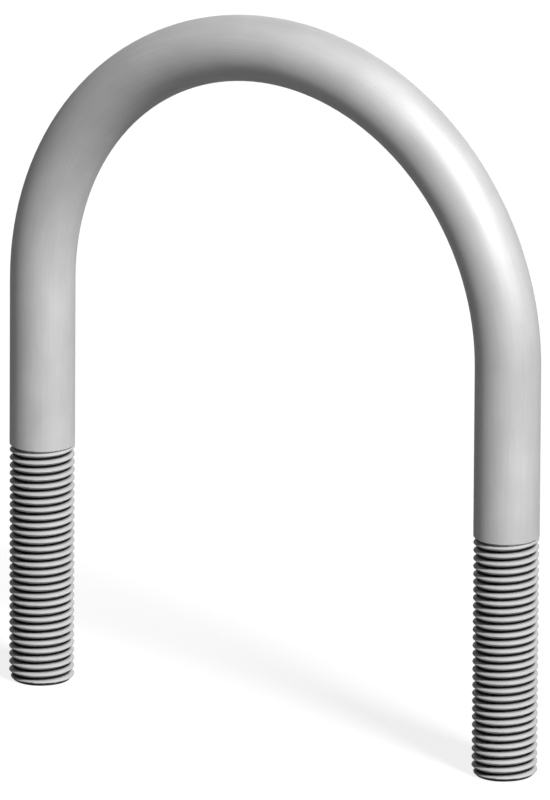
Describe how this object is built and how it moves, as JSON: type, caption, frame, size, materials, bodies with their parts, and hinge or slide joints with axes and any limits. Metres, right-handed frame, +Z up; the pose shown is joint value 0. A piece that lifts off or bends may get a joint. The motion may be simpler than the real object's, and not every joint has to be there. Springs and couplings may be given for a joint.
{
  "type": "pipe u-bolt",
  "caption": "Round steel bar bent to a half circle with a threaded, chamfered leg on each side, for clamping a pipe to a beam or plate.",
  "frame": {"origin": "on the floor, midway between the cut ends of the two legs", "axes": "+Z up from the cut ends of the legs to the top of the bend, X from leg to leg, Y along the pipe that the bend goes over"},
  "size_m": [0.152, 0.016, 0.178],
  "materials": {
    "zinc_plated_steel": "satin"
  },
  "bodies": {
    "root": {"u_bolt": "zinc_plated_steel"}
  },
  "joints": []
}
